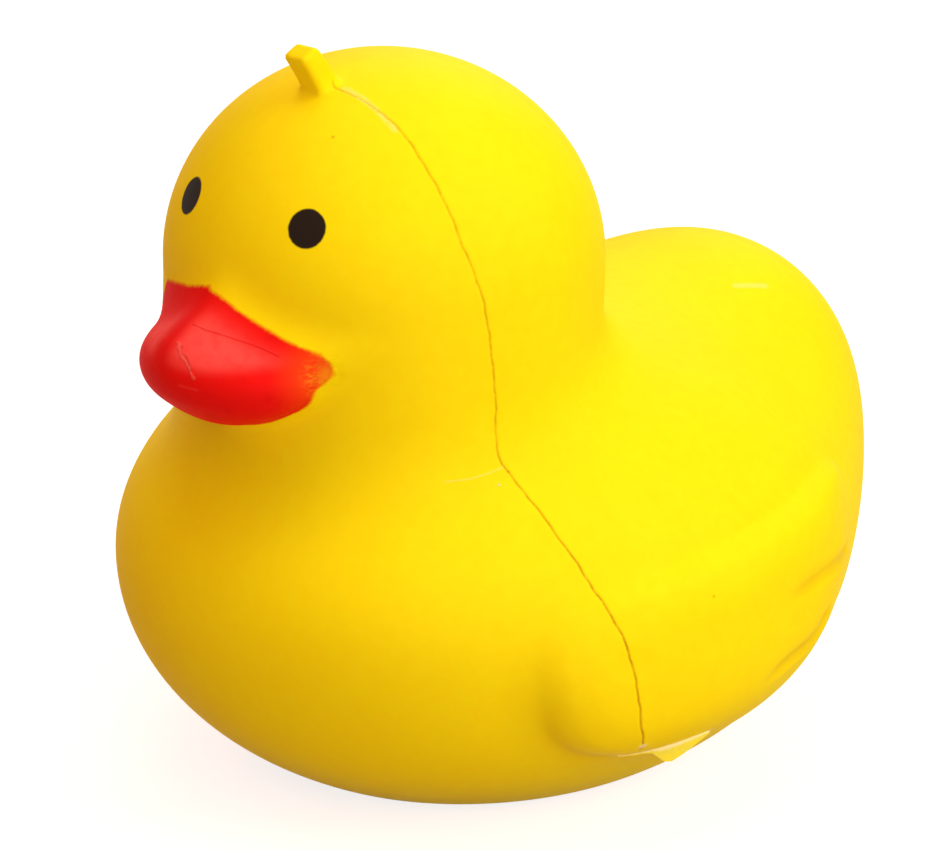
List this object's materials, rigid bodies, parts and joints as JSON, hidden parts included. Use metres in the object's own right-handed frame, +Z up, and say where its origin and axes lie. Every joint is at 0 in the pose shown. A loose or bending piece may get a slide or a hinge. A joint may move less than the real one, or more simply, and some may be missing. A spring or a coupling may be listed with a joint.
{
  "type": "squishy duck",
  "caption": "Squeeze duck of soft foam moulded in one piece, with a round head, a short wide painted bill, folded side wings, a raised round tail and a flat base.",
  "frame": {"origin": "middle of the duck's length and width, on its flat base", "axes": "+Z up, the duck faces -Y, its left side is +X"},
  "size_m": [0.077, 0.0932, 0.0806],
  "materials": {
    "yellow_foam": "matt foam skin, with the bill painted red and the eyes painted dark brown"
  },
  "bodies": {
    "root": {"duck": "yellow_foam"}
  },
  "joints": []
}
